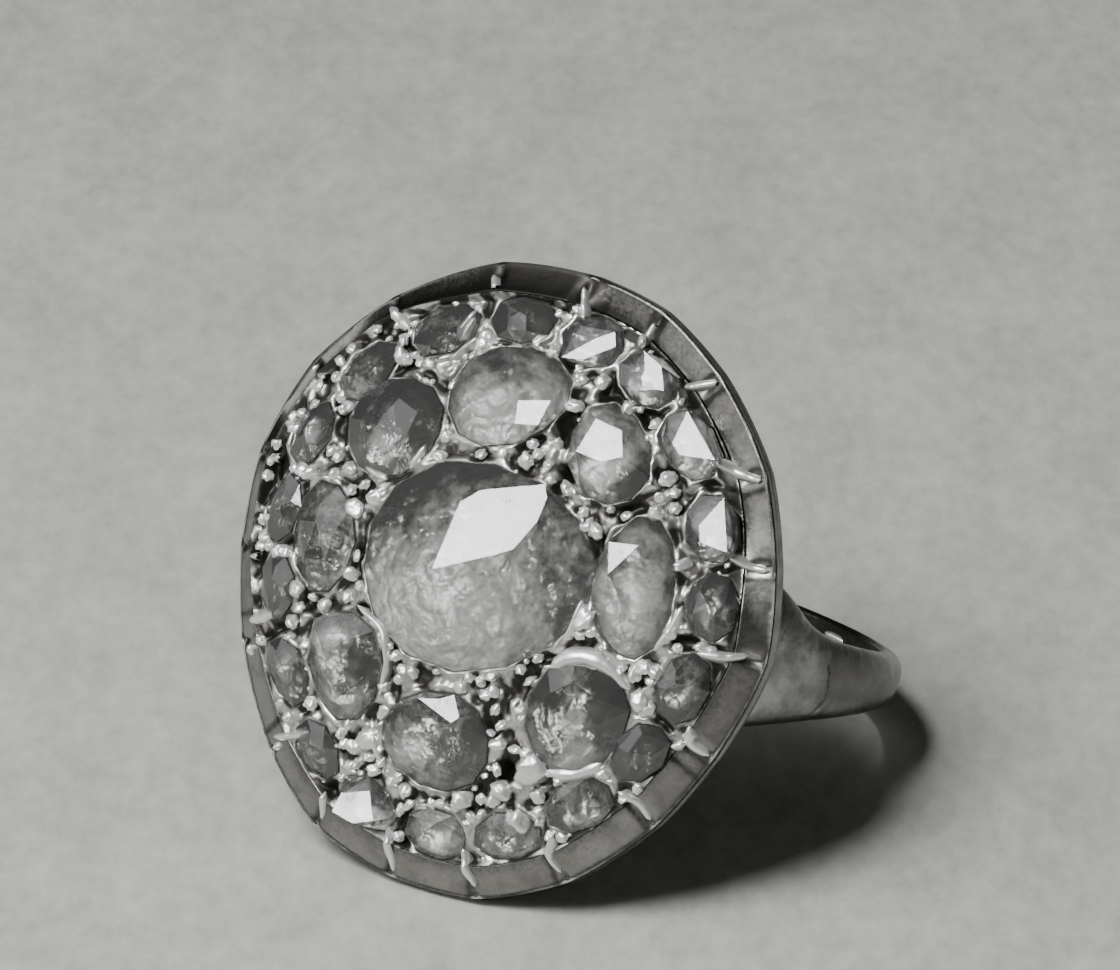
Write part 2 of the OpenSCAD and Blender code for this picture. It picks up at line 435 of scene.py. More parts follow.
def make_hoop():
    """The band, round inside and rounded outside, that spreads to the shoulders."""
    angles, above, below = np.array(BAND_WIDTHS).T
    steps = 720
    around = np.linspace(-180, 180, steps, endpoint=False)
    window = np.hanning(31) / np.hanning(31).sum()
    sides = [np.pad(np.interp(abs(around), angles, widths), 15, "wrap") for widths in (above, below)]
    tops, feet = (np.convolve(side, window, "valid") for side in sides)
    across = np.sin(np.linspace(-math.pi / 2, math.pi / 2, 33))
    points, shade_and_dirt_values, painted_light_shares = [], [], []
    for angle, top, foot in zip(around, tops, feet):
        side = np.where(across > 0, across * top, across * foot)
        bulge = np.sqrt(np.clip(1 - np.abs(across) ** 2.3, 0, 1))
        seam = abs(angle - np.interp(side, *SEAM.T)) < SEAM_DEGREES
        seam &= (side < SEAM[-1, 0]) & (side > SEAM[0, 0])
        outside = FINGER_RADIUS + BAND_EDGE + (BAND_THICKNESS - BAND_EDGE) * bulge - SEAM_DEPTH * seam
        inside = FINGER_RADIUS + EDGE_ROUNDING * smooth_step(np.abs(across), 0.85, 1.0)
        rows = list(zip(outside, side, SEAM_STAIN * seam))
        rows += [(r, v, INSIDE_SHADE) for r, v in zip(inside, side)][-2:0:-1]
        turn = math.radians(angle)
        # painted light: the shoulder and the band's lower side are painted brighter, for the light they
        # catch
        low_side = smooth_step(angle, 40, 55) * smooth_step(angle, 96, 84)
        shoulder = smooth_step(angle, 40, 55) * smooth_step(angle, 76, 66)
        for radius, v, shade_and_dirt in rows:
            points.append((radius * math.sin(turn), v, radius * math.cos(turn)))
            away = math.hypot((angle - PATCH_ANGLE) / PATCH_DEGREES, (v - PATCH_ACROSS) / PATCH_WIDTH)
            shade_and_dirt_values.append(shade_and_dirt + PATCH_DARKENING * bump(away, 1))
            painted_light_shares.append(max(low_side * smooth_step(-v, 0.5, 1.2), shoulder))
    columns = 2 * len(across) - 2
    faces = grid_faces(steps, columns, True)
    last = (steps - 1) * columns
    faces += [(last + c, last + (c + 1) % columns, (c + 1) % columns, c) for c in range(columns)]
    piece("hoop", points, faces, SATIN, [MOUNTING],
          masks={"shade_and_dirt": shade_and_dirt_values, "painted_light": painted_light_shares})


def make_solder_drop():
    """A flat drop inside the band, turned most of the way to the lamp."""
    turn = math.radians(DROP_ANGLE)
    outward = np.array([math.sin(turn), 0, math.cos(turn)])
    along = np.array([math.cos(turn), 0, -math.sin(turn)])
    lit = np.array([*LAMP_FALL, 1.0]) / math.hypot(*LAMP_FALL, 1.0)
    along -= DROP_LEVELLING * lit * (along @ lit)
    along /= np.linalg.norm(along)
    form, faces = unit_ball()
    form = form @ np.stack([DROP_LENGTH * along, DROP_WIDTH * np.cross(lit, along), DROP_DEPTH * lit])
    form += (FINGER_RADIUS - DROP_SUNK) * outward + (0, DROP_ACROSS, 0)
    piece("solder_drop", form, faces, CUT, [MOUNTING],
          masks={"shade_and_dirt": np.zeros(len(form))})


# Mounting: head

def rim_corners():
    """Clock angle and distance of each corner of the rim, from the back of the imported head."""
    found = head_points(MOUNTING)
    back = found[np.abs(found[:, 2] - (RIM_HEIGHT - RIM_WALL)) < 0.01]
    far = back[np.hypot(back[:, 0], back[:, 1]) > 0.9 * FINGER_RADIUS + 2]
    clocks = clock_of(far[:, :2])
    corners = []
    for i in np.argsort(clocks):
        if not corners or clocks[i] - corners[-1][0] > 3:
            corners.append((clocks[i], math.hypot(far[i, 0], far[i, 1])))
    return np.array(corners).T


CORNER_CLOCKS, CORNER_DISTANCES = rim_corners()

# How far the rim's sides are rounded into one another
ROUNDING = 0.65


def rim_side(clocks):
    """The side of the rim at each clock angle, the angle it takes up and the share passed."""
    side = (np.searchsorted(CORNER_CLOCKS, clocks, side="right") - 1) % len(CORNER_CLOCKS)
    start = CORNER_CLOCKS[side]
    whole = (CORNER_CLOCKS[(side + 1) % len(CORNER_CLOCKS)] - start) % 360
    return side, whole, ((clocks - start) % 360) / whole


def rim_distance(clocks):
    """Distance of the rim from the face's middle: between straight sides and a smooth curve."""
    side, gap, along = rim_side(np.asarray(clocks, float) % 360)
    before, a, b, after = (CORNER_DISTANCES[(side + k) % len(CORNER_DISTANCES)] for k in (-1, 0, 1, 2))
    first, whole = np.radians(along * gap), np.radians(gap)
    straight = a * b * np.sin(whole) / (a * np.sin(first) + b * np.sin(whole - first))
    curved = a + 0.5 * along * (b - before + along * (
        2 * before - 5 * a + 4 * b - after + along * (3 * (a - b) + after - before)))
    return straight + ROUNDING * (curved - straight)


# The collar is widest at the foot and hardly there on the left
COLLAR_WIDTHS = (
    # clock angle, width
    (0, 1.05), (205, 1.05), (235, 0.85), (255, 0.6), (290, 0.42), (312, 0.5), (332, 0.95), (345, 1.05),
)


def collar_width(clocks):
    return by_clock(COLLAR_WIDTHS, clocks)


def ring_of_points(clocks, inset, height):
    """One row round the head, that far inside the rim."""
    distance = rim_distance(clocks) - inset
    turn = np.radians(clocks)
    return np.stack([distance * np.sin(turn), distance * np.cos(turn),
                     np.broadcast_to(height, turn.shape)], 1)


def off_floor(points):
    """Keeps points from sinking into the floor that the rim rests on."""
    up = AXES[:, 2]
    drop = np.minimum(HOLE_CENTRE[2] + points @ up, 0)
    return points - drop[:, None] * up


def make_head_wall():
    """Back plate and the plain wall up to the rim."""
    back = RIM_HEIGHT - RIM_WALL
    clocks = np.linspace(0, 360, 380, endpoint=False)
    rows = (
        # inside the rim, height, stain: painted shade, darkest on the rim's edge, where it dulls the
        # highlight
        (6.0, back, 0.2), (0.5, back, 0.2), (0.07, back, 0.3), (0.03, back + 0.02, 0.4),
        (0.0, back + 0.07, 0.4), (0.035, back + 0.3, 0.2), (0.05, RIM_HEIGHT - 0.14, 0.3),
        (0.0, RIM_HEIGHT - 0.09, 0.6), (-0.01, RIM_HEIGHT - 0.03, 0.7),
        (0.02, RIM_HEIGHT + 0.01, 0.7), (0.12, RIM_HEIGHT + 0.02, 0.5),
    )
    points = np.concatenate([ring_of_points(clocks, inset, height) for inset, height, _ in rows])
    points = off_floor(points)
    faces = grid_faces(len(rows), len(clocks), True)
    faces.append(tuple(range(len(clocks)))[::-1])
    stains_and_shade = np.repeat([stain_and_shade for _, _, stain_and_shade in rows], len(clocks))
    piece("head_wall", points, faces, POLISHED, [MOUNTING], masks={"shade_and_dirt": stains_and_shade})


# Folds of metal over the collar: half width, then clock angle and distance of places outwards
CLAWS = (
    (0.16, (1.5, 9.15), (-0.5, 9.65), (-2.2, 10.25)),
    (0.18, (14.8, 9.35), (14.4, 9.75), (14.2, 10.15)),
    (0.17, (28.3, 9.25), (30.5, 9.8), (32.0, 10.25)),
    (0.20, (45.5, 8.85), (49.3, 9.3), (52.0, 9.8), (53.2, 10.15)),
    (0.18, (67.5, 8.8), (69.6, 9.3), (70.6, 10.0)),
    (0.18, (90.0, 8.2), (89.2, 9.0), (87.2, 9.8)),
    (0.22, (105.3, 8.95), (108.8, 9.2), (108.6, 10.0)),
    (0.15, (108.8, 9.2), (112.0, 8.85)),
    (0.20, (127.6, 8.7), (125.4, 9.35), (126.2, 10.05)),
    (0.18, (145.8, 8.95), (148.5, 9.6), (147.2, 10.3)),
    (0.17, (167.6, 9.15), (167.0, 9.9), (165.2, 10.5)),
    (0.18, (186.2, 9.1), (185.0, 9.9), (182.6, 10.7)),
    (0.16, (202.8, 9.6), (201.6, 10.1), (200.4, 10.55)),
    (0.17, (213.2, 8.45), (216.5, 9.3), (219.6, 10.15)),
    (0.26, (243.6, 8.3), (243.2, 9.0), (243.0, 9.65)),
    (0.14, (256.4, 9.1), (256.2, 9.5)),
    (0.16, (277.8, 9.3), (276.6, 9.8)),
    (0.17, (296.8, 9.6), (295.6, 10.05)),
    (0.24, (319.2, 9.1), (317.2, 9.7), (315.6, 10.3)),
    (0.18, (331.5, 8.2), (333.6, 8.65), (335.6, 9.1)),
    (0.17, (339.8, 9.75), (338.6, 10.3)),
)

# Height of the collar's inner edge over the rim
COLLAR_RISES = (
    # clock angle, rise
    (4, 0.00), (23, -0.02), (42, 0.00), (61, 0.03), (79, 0.42), (98, 0.5), (240, 0.45), (272, 0.40),
    (290, 0.08), (305, 0.08), (322, 0.5), (356, 0.6),
)

# Painted shade on the collar by clock angle: darkest at the top, where it stands in for a dark
# reflection
COLLAR_SHADE = (
    # clock angle, share
    (4, 0.66), (23, 0.42), (42, 0.36), (61, 0.32), (79, 0.22), (98, 0.32), (117, 0.20), (140, 0.22),
    (175, 0.24), (210, 0.24), (250, 0.20), (290, 0.20), (306, 0.30), (320, 0.60), (340, 0.80),
    (358, 0.90),
)

# How each side of the collar waves along the rim, clockwise from the first corner after the top,
# as shares of the deepest wave
DEEPEST_WAVE = 0.028
SIDE_WAVES = (0.3, -0.5, 0.4, 0.5, -0.3, 0.2, -0.6, 0.5, 0.1, -0.4, 0.3, 0.2, -0.2, 0.5, -0.5, 0.4,
              -0.4, 0.3, -0.3)

# How deep the collar is folded at each corner of the rim, and how high its outer lip stands
FOLD_DEPTH, FOLD_WIDTH = 0.10, 0.2
LIP_HEIGHT, LIP_SHARE = 0.03, 0.06


def collar_height(clocks, share):
    """Height of the collar, from its top at share 0 to the rim at share 1."""
    side, gap, along = rim_side(clocks)
    apart = np.minimum(along, 1 - along) * np.radians(gap) * rim_distance(clocks)
    wave = np.array(SIDE_WAVES)[side] * -np.sin(2 * math.pi * along) * DEEPEST_WAVE
    slope = by_clock(COLLAR_RISES, clocks) * (1 - 1.25 * share + 0.25 * share ** 2)
    panel = np.sin(math.pi * share) * (wave - FOLD_DEPTH * bump(apart, FOLD_WIDTH))
    return RIM_HEIGHT + slope + panel + LIP_HEIGHT * bump(1 - share, LIP_SHARE)


def make_collar():
    """The sloping collar, with a turned-down edge inside it. Its mask paints shade by clock angle, near
    its inner edge, beside each claw and on the turned-down edge.
    """
    clocks = np.linspace(0, 360, 1140, endpoint=False)
    shares = np.concatenate([[-0.12, -0.05], np.linspace(0, 1, 18)])
    rows, shade_and_dirt_values = [], []
    for share in shares:
        inside = share < 0
        height = collar_height(clocks, max(share, 0.0)) + (2.2 * share if inside else 0)
        rows.append(ring_of_points(clocks, collar_width(clocks) * (1 - share), height))
        # painted shade: darker by clock angle (most at the top, for a dark reflection), near the inner
        # edge and beside each claw
        stain_and_shade = by_clock(COLLAR_SHADE, clocks) + 0.22 * bump(share, 0.25)
        for _, *route in CLAWS:
            gap = np.radians((clocks - route[-1][0] + 180) % 360 - 180) * rim_distance(clocks)
            stain_and_shade = stain_and_shade + 0.4 * bump(gap - 0.3, 0.14)
        shade_and_dirt_values.append(np.full(len(clocks), 0.6) if inside else stain_and_shade)
    points = off_floor(np.concatenate(rows))
    piece("collar", points, grid_faces(len(shares), len(clocks), True), POLISHED,
          [MOUNTING], masks={"shade_and_dirt": np.concatenate(shade_and_dirt_values)})


# Stones

class Seat:
    """A stone's outline and heights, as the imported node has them."""

    def __init__(self, name):
        self.name = name
        found = head_points(name)
        self.base = found[:, 2].min()
        self.top = found[:, 2].max()
        low = found[found[:, 2] < self.base + 0.01][:, :2]
        self.centre = low.mean(0)
        turn = np.arctan2(*(low - self.centre).T[::-1])
        low = low[np.argsort(turn)] - self.centre
        growth = GROWTH[name.split("_")[0]]
        self.outline = self.centre + low * (1 + growth / np.hypot(*low.T))[:, None]

    def distance(self, places):
        """How far places lie outside the outline, or less than nothing inside it."""
        best = np.full(len(places), np.inf)
        inside = np.ones(len(places), bool)
        for a, b in zip(self.outline, np.roll(self.outline, -1, 0)):
            side = b - a
            offset = places - a
            along = np.clip(offset @ side / (side @ side), 0, 1)
            best = np.minimum(best, np.hypot(*(offset - along[:, None] * side).T))
            inside &= side[0] * offset[:, 1] - side[1] * offset[:, 0] >= 0
        return np.where(inside, -best, best)


SEATS = [Seat(name) for name in sorted(frame["nodes"]) if name != MOUNTING]


def facets_of(seat):
    """Crown corners of a stone: a ring half way up and one corner at the top."""
    count = 7
    if len(seat.outline) < 11:
        count = 5
    if len(seat.outline) < 9:
        count = 4
    start = RANDOM.uniform(0, 360)
    crown = seat.top - dome(*seat.centre)
    corners = []
    for k in range(count):
        turn = math.radians(start + 360 * k / count + RANDOM.uniform(-9, 9))
        way = np.array([math.cos(turn), math.sin(turn)])
        reach = max((seat.outline - seat.centre) @ way)
        place = seat.centre + way * reach * RANDOM.uniform(0.5, 0.64)
        corners.append((*place, dome(*place) + crown * RANDOM.uniform(0.62, 0.78)))
    shift = RANDOM.uniform(-0.12, 0.12, 2) * np.ptp(seat.outline, 0)
    top = seat.centre + shift
    corners.append((*top, dome(*top) + crown))
    return corners


# The lamp is long, so a range of facets shows it: these falls to the right and to the top, and
# those between them
LAMP_SLOPES = np.array([(0.206, 0.077), (0.148, 0.328), (0.11, 0.62)])
LAMP_HALF_WIDTH = 0.12
STEEPEST_LIT = 0.7

# Facets that show the lamp: the first corner's height over the bed, then all corners across and up
LAMP_FACETS = {
    "centre_stone": (1.30, (-0.75, -0.18), (-0.83, 2.20), (-0.33, 2.80), (1.63, 3.68), (1.89, 3.27),
                     (1.92, 2.42), (1.55, 1.32), (1.00, 0.92)),
    "inner_stone_1": (0.62, (-0.10, 5.25), (-0.35, 6.00), (0.70, 6.35), (0.65, 5.45)),
    "inner_stone_2": (0.60, (2.34, 5.06), (3.29, 5.03), (3.90, 5.40), (3.50, 6.20), (2.50, 6.30)),
    "inner_stone_3": (0.64, (4.95, 1.60), (4.50, 2.60), (5.50, 2.80)),
    "inner_stone_5": (0.50, (-0.40, -4.55), (0.25, -4.35), (1.20, -4.70), (1.00, -4.95)),
    "inner_stone_6": (0.58, (-4.64, -4.21), (-5.30, -3.30), (-4.19, -3.72)),
    "outer_stone_2": (0.34, (0.27, 7.80), (0.97, 7.94), (1.85, 8.71), (1.61, 9.16), (1.07, 8.73)),
    "outer_stone_3": (0.36, (3.19, 8.31), (2.89, 8.89), (3.65, 8.61), (4.09, 7.85), (3.81, 7.82)),
    "outer_stone_4": (0.34, (5.13, 6.33), (5.15, 7.50), (6.73, 6.27), (5.54, 6.05)),
    "outer_stone_5": (0.32, (7.01, 4.05), (7.41, 5.19), (8.28, 3.52), (7.28, 3.55)),
    "outer_stone_12": (0.34, (-1.75, -8.22), (-1.20, -9.12), (-1.83, -9.42), (-2.66, -9.28),
                       (-2.63, -8.61)),
}

# How far other corners stay below the plane of a stone's lit facet
CLEAR_OF_LAMP = 0.04

# The centre stone's own corners besides its lit facet
CENTRE_CROWN = (
    # across, up, height over the bed
    (2.52, 0.38, 0.34),
    (-2.50, -1.08, 0.42),
    (-0.30, -1.90, 0.66),
    (1.60, -1.30, 0.50),
    (-3.05, 1.50, 0.25),
)


def crown_of(seat):
    """A stone's crown corners, and its facets that are to show the lamp."""
    crown = facets_of(seat)
    if seat.name == "centre_stone":
        crown = [(u, v, dome(u, v) + rise) for u, v, rise in CENTRE_CROWN]
    if seat.name not in LAMP_FACETS:
        return crown, []
    rise, *corners = LAMP_FACETS[seat.name]
    corners = np.array(corners)
    first = dome(*corners[0]) + rise

    def plane(u, v):
        return first - LAMP_FALL @ ((u, v) - corners[0])

    crown = [(u, v, min(w, plane(u, v) - CLEAR_OF_LAMP)) for u, v, w in crown]
    return crown, [(u, v, plane(u, v)) for u, v in corners]


# Height of a stone's widest line over the bed, and how far it drops at the centre stone's right
GIRDLE_HEIGHT = 0.05
CENTRE_GIRDLE_DROP = 0.12


def cut(seat, crown):
    """The stone as flat facets round all its corners."""
    form = bmesh.new()
    drop = CENTRE_GIRDLE_DROP if seat.name == "centre_stone" else 0.0
    girdle = [(*p, dome(*p) + GIRDLE_HEIGHT - drop * smooth_step(p[0], 0, 2)) for p in seat.outline]
    low = [(*p, seat.base) for p in seat.outline]
    for place in low + girdle + crown:
        form.verts.new(place)
    result = bmesh.ops.convex_hull(form, input=form.verts)
    spare = result["geom_unused"] + result["geom_interior"]
    spare = {part for part in spare if isinstance(part, bmesh.types.BMVert)}
    bmesh.ops.delete(form, geom=list(spare), context="VERTS")
    bmesh.ops.dissolve_limit(form, angle_limit=math.radians(2), verts=form.verts, edges=form.edges)
    form.verts.index_update()
    return form


def chance_glare(form):
    """Area of the facets that turn to the lamp."""
    area = 0
    for facet in form.faces:
        if facet.normal.z > 0.2:
            falls = np.array(facet.normal[:2]) / facet.normal.z
            lamp = np.interp(falls[1], *LAMP_SLOPES.T[::-1])
            if abs(falls[0] - lamp) < LAMP_HALF_WIDTH and 0.0 < falls[1] < STEEPEST_LIT:
                area += facet.calc_area()
    return area


def make_stone(seat):
    """Cuts a stone until no facet shows the lamp by chance, or keeps the cut that shows it least."""
    best, least = None, math.inf
    for _ in range(24):
        crown, lamp_facet = crown_of(seat)
        form = cut(seat, crown + lamp_facet)
        glare = chance_glare(form)
        if glare < least:
            best, least = form, glare
        if glare == 0:
            break
    points = [v.co[:] for v in best.verts]
    faces = [[v.index for v in f.verts] for f in best.faces]
    piece(seat.name + "_cut", points, faces, STONE, [seat.name], smooth=False)


# How dark each foil is in the middle, from tarnish, and how much darker at its top and at its right, as
# painted shade
FOIL_STAINS_AND_SHADE = {
    "centre_stone": (0.10, 0.40, -0.05),
    "inner_stone_1": (0.16, 0.15, 0.05),
    "inner_stone_2": (0.25, -0.10, 0.10),
    "inner_stone_3": (0.14, 0.15, 0.10),
    "inner_stone_4": (0.62, 0.35, 0.20),
    "inner_stone_5": (0.62, 0.30, 0.20),
    "inner_stone_6": (0.50, 0.15, 0.15),
    "inner_stone_7": (0.55, 0.05, 0.00),
    "inner_stone_8": (0.90, 0.20, 0.00),
    "outer_stone_1": (1.00, 0.00, 0.00),
    "outer_stone_2": (0.50, 0.20, -0.20),
    "outer_stone_3": (0.50, 0.10, 0.00),
    "outer_stone_4": (0.30, 0.00, 0.10),
    "outer_stone_5": (0.35, 0.00, 0.10),
    "outer_stone_6": (0.75, 0.10, -0.20),
    "outer_stone_7": (0.70, 0.00, 0.10),
    "outer_stone_8": (1.10, 0.00, 0.00),
    "outer_stone_9": (0.60, 0.10, 0.00),
    "outer_stone_10": (0.45, 0.30, 0.00),
    "outer_stone_11": (0.35, 0.20, 0.00),
    "outer_stone_12": (0.55, 0.30, 0.20),
    "outer_stone_15": (1.30, 0.00, 0.00),
    "outer_stone_16": (1.30, 0.00, 0.00),
}

# The same for any other foil, and how much darker all are at their edge, as painted shade
DARK_FOIL = (0.95, 0.10, 0.10)
EDGE_SHADE = 0.4

# Darker and lighter spots on the foils
FOIL_SPOTS = (
    # across, up, radius, how much darker
    (-3.18, -4.10, 0.65, 1.2), (5.74, -2.88, 0.60, 0.7), (3.80, -3.00, 0.45, 0.7),
    (-6.10, -0.95, 0.60, 0.7), (0.65, -5.70, 0.45, 0.5), (1.80, -5.10, 0.50, 0.6),
    (4.10, 4.50, 0.55, 1.4), (-1.80, 6.40, 0.50, 0.5), (4.60, 2.00, 0.40, 0.9),
    (-1.20, 3.10, 1.00, 0.5), (-3.30, 1.60, 1.50, 0.6), (2.60, -1.90, 0.90, 0.4),
    (-3.20, -0.90, 0.80, -0.5), (-2.30, -2.20, 0.70, -0.4), (3.30, 0.20, 0.90, 0.5),
    (2.40, 1.00, 0.70, 0.3), (-1.90, -1.75, 0.80, -0.4), (0.90, -0.40, 0.50, -0.4),
    (0.15, -2.30, 0.90, -0.4), (-1.90, 5.00, 0.70, -0.6), (0.30, 5.80, 0.70, -0.6),
    (3.00, 4.70, 0.50, -0.5), (5.60, 0.90, 0.70, -0.5), (-4.90, -3.90, 0.50, -0.6),
    (-0.80, -6.60, 0.70, -0.8), (5.20, -4.70, 0.60, -0.8), (4.80, -3.50, 0.40, -0.5),
    (-5.10, 3.10, 0.40, -0.5), (-6.50, 0.60, 0.50, -0.5), (0.70, 1.00, 0.40, 0.3),
    (3.40, -0.60, 0.50, 0.4),
)

# The leaf lies inside its stone's foot: over the stone's back, dished up at its edge, crumpled
FOIL_LIFT = 0.07
FOIL_DISH = 0.12
FOIL_CRUMPLE = 0.04
FOIL_INSET = 0.03


def make_foils():
    """A dished, crumpled leaf under every stone."""
    points, faces, stains_and_shade = [], [], []
    rings, around = 12, 40
    for seat in SEATS:
        middle, upwards, rightwards = FOIL_STAINS_AND_SHADE.get(seat.name, DARK_FOIL)
        span = np.ptp(seat.outline, 0) / 2
        sides = list(zip(seat.outline - seat.centre, np.roll(seat.outline, -1, 0) - seat.centre))
        first = len(points)
        points.append((*seat.centre, seat.base + FOIL_LIFT))
        stains_and_shade.append(middle)
        for r, a in [(r, a) for r in range(1, rings + 1) for a in range(around)]:
            turn = 2 * math.pi * a / around
            way = np.array([math.cos(turn), math.sin(turn)])
            reach = min(
                (c[0] * (d - c)[1] - c[1] * (d - c)[0]) / (way[0] * (d - c)[1] - way[1] * (d - c)[0])
                for c, d in sides if way @ c > 0
                and (way[0] * c[1] - way[1] * c[0]) * (way[0] * d[1] - way[1] * d[0]) <= 0)
            share = r / rings
            offset = way * (abs(reach) - FOIL_INSET) * share
            place = seat.centre + offset
            wave = FOIL_CRUMPLE * unevenness([place], 1.3, 3.0)[0]
            points.append((*place, seat.base + FOIL_LIFT + FOIL_DISH * share ** 4 + wave))
            right, top = offset / span
            spots = sum(dark * math.exp(-((place[0] - u) ** 2 + (place[1] - v) ** 2) / size ** 2)
                        for u, v, size, dark in FOIL_SPOTS)
            # painted shade at the foil's edge and towards its top and right, over the tarnish in its
            # middle
            edge = EDGE_SHADE * share ** 6
            stains_and_shade.append(middle + upwards * top + rightwards * right + edge + spots)
        for a in range(around):
            faces.append((first, first + 1 + a, first + 1 + (a + 1) % around))
        for r in range(rings - 1):
            row = first + 1 + r * around
            for a in range(around):
                b = (a + 1) % around
                faces.append((row + a, row + around + a, row + around + b, row + b))
    piece("foils", points, faces, FOIL, [MOUNTING], masks={"stain_and_shade": stains_and_shade})


# Mounting: bed, claws and grains

# Deep pits between the stones, painted dark with shade and dirt
VOIDS = (
    # clock angle, distance, radius
    (16.7, 5.9, 0.35), (244.7, 6.9, 0.3), (186.7, 4.9, 0.3), (115.7, 8.6, 0.35), (351.6, 9.1, 0.4),
    (66.0, 4.4, 0.3), (43.6, 7.8, 0.25), (68.1, 7.7, 0.3), (76.5, 8.1, 0.25), (272.8, 9.2, 0.4),
    (251.0, 8.7, 0.35), (131.4, 8.7, 0.25), (153.2, 6.6, 0.3), (27.4, 4.7, 0.25),
    (327.6, 9.3, 0.4), (316.0, 7.1, 0.3),
)


def make_bed():
    """Domed metal between the stones: thin walls round each, and pits between them. Its mask paints
    shade and dirt into the low places and pits, and lightens the lumps and walls.
    """
    pitch = 0.06
    half = 10.0
    line = np.arange(-half, half + pitch, pitch)
    across, up = np.meshgrid(line, line, indexing="ij")
    places = np.stack([across.ravel(), up.ravel()], 1)
    clocks = clock_of(places)
    radius = np.hypot(*places.T)
    limit = rim_distance(clocks) - collar_width(clocks) - 0.02
    first = np.stack([seat.distance(places) for seat in SEATS]).min(0)
    kept = (radius < limit + 1.5 * pitch) & (first > -0.16)
    over = radius > limit
    places[over] *= (limit[over] / radius[over])[:, None]
    places, first = places[kept], first[kept]
    edge = limit[kept] - np.hypot(*places.T)
    rough = unevenness(places, 1.2, 1.0)
    fine = unevenness(places, 2.6, 7.0)
    broken = smooth_step(unevenness(places, 0.9, 21.0), -0.08, 0.2)
    wall = bump(first - 0.06, 0.07) * np.clip(2.2 * rough, 0.0, 1.2) * broken
    middle = smooth_step(first, 0.10, 0.34)
    pit = np.zeros(len(places))
    for clock, distance, size in VOIDS:
        pit = np.maximum(pit, bump(np.hypot(*(places - at_clock(clock, distance)).T), size))
    lumps = np.clip(1.4 * rough + 0.9 * fine, -1, 1)
    height = dome(*places.T) + 0.05 * wall - 0.16 * middle
    height += 0.22 * lumps * smooth_step(first, 0.0, 0.25)
    height -= 0.55 * pit * smooth_step(first, 0.0, 0.1)
    height -= 1.2 * smooth_step(-first, 0.0, 0.12)
    top = RIM_HEIGHT + by_clock(COLLAR_RISES, clock_of(places))
    height += smooth_step(edge, 0.35, 0.0) * (top + 0.03 + 0.04 * fine - height)
    # painted shade and dirt: darker between the stones, in the pits, under the stones' edges and by the
    # collar; lighter on the lumps and walls
    shade_and_dirt = 0.56 + 0.15 * middle - 0.5 * wall - 1.3 * lumps * smooth_step(first, 0, 0.2) + 0.9 * pit
    shade_and_dirt += 0.6 * smooth_step(-first, 0, 0.1) + 0.2 * smooth_step(edge, 0.3, 0.0)
    index = -np.ones(len(kept), int)
    index[kept] = np.arange(kept.sum())
    index = index.reshape(across.shape)
    corners = np.stack([index[:-1, :-1], index[1:, :-1], index[1:, 1:], index[:-1, 1:]], -1)
    corners = corners.reshape(-1, 4)
    faces = corners[(corners >= 0).all(1)].tolist()
    piece("bed", np.column_stack([places, height]), faces, SEATING, [MOUNTING],
          masks={"shade_and_dirt": np.clip(shade_and_dirt, 0, 1)})


def ridge(path, widths, heights):
    """Points and faces of a tapering fold of metal along a path, turned to the lamp a little."""
    section = (
        # across in half widths, down from the crest in depths
        (-1.0, -1.0), (-0.85, -0.5), (-0.5, -0.12), (-0.2, 0.0), (0.25, 0.0), (0.55, -0.16),
        (0.85, -0.6), (1.0, -1.0),
    )
    path = np.asarray(path, float)
    along = np.gradient(path, axis=0)
    along /= np.linalg.norm(along, axis=1)[:, None]
    outward = np.array([0.0, 0.0, 1.0])
    side = np.cross(along, outward)
    side /= np.linalg.norm(side, axis=1)[:, None]
    normal = np.cross(side, along)
    points = []
    for p, s, n, w, h in zip(path, side, normal, widths, heights):
        fall = np.array([0, 0, s[:2] @ LAMP_FALL])
        points += [p + (s - fall) * x * w + n * y * h for x, y in section]
    return points, grid_faces(len(path), len(section)) + [tuple(range(len(section)))]


# Metal pushed up beside the stones: half width, then places across and up
RIDGES = (
    (0.31, (3.75, -2.10), (4.20, -1.52), (4.95, -1.25), (5.80, -1.42), (6.60, -1.95)),
    (0.16, (-3.56, 2.50), (-3.27, 3.60)),
    (0.18, (-3.80, 7.05), (-3.60, 8.10)),
    (0.15, (-4.00, -2.35), (-2.60, -2.80), (-2.15, -3.80), (-2.15, -4.80)),
    (0.16, (6.90, -0.45), (7.25, 0.50), (7.35, 1.40)),
    (0.15, (-5.40, 2.10), (-4.20, 1.95)),
    (0.26, (4.40, -5.45), (5.40, -5.25), (6.30, -4.50)),
    (0.18, (-2.20, -6.30), (-1.60, -7.20)),
    (0.14, (4.15, 0.50), (4.10, -0.60), (3.95, -1.10)),
)


def face_height(places):
    """Height of the bed, and outside it of the collar."""
    clocks = clock_of(places)
    inset = rim_distance(clocks) - np.hypot(*places.T)
    wide = collar_width(clocks)
    low = collar_height(clocks, np.clip(1 - inset / wide, 0, 1))
    return low + smooth_step(inset, wide - 0.1, wide + 0.35) * (dome(*places.T) - low)


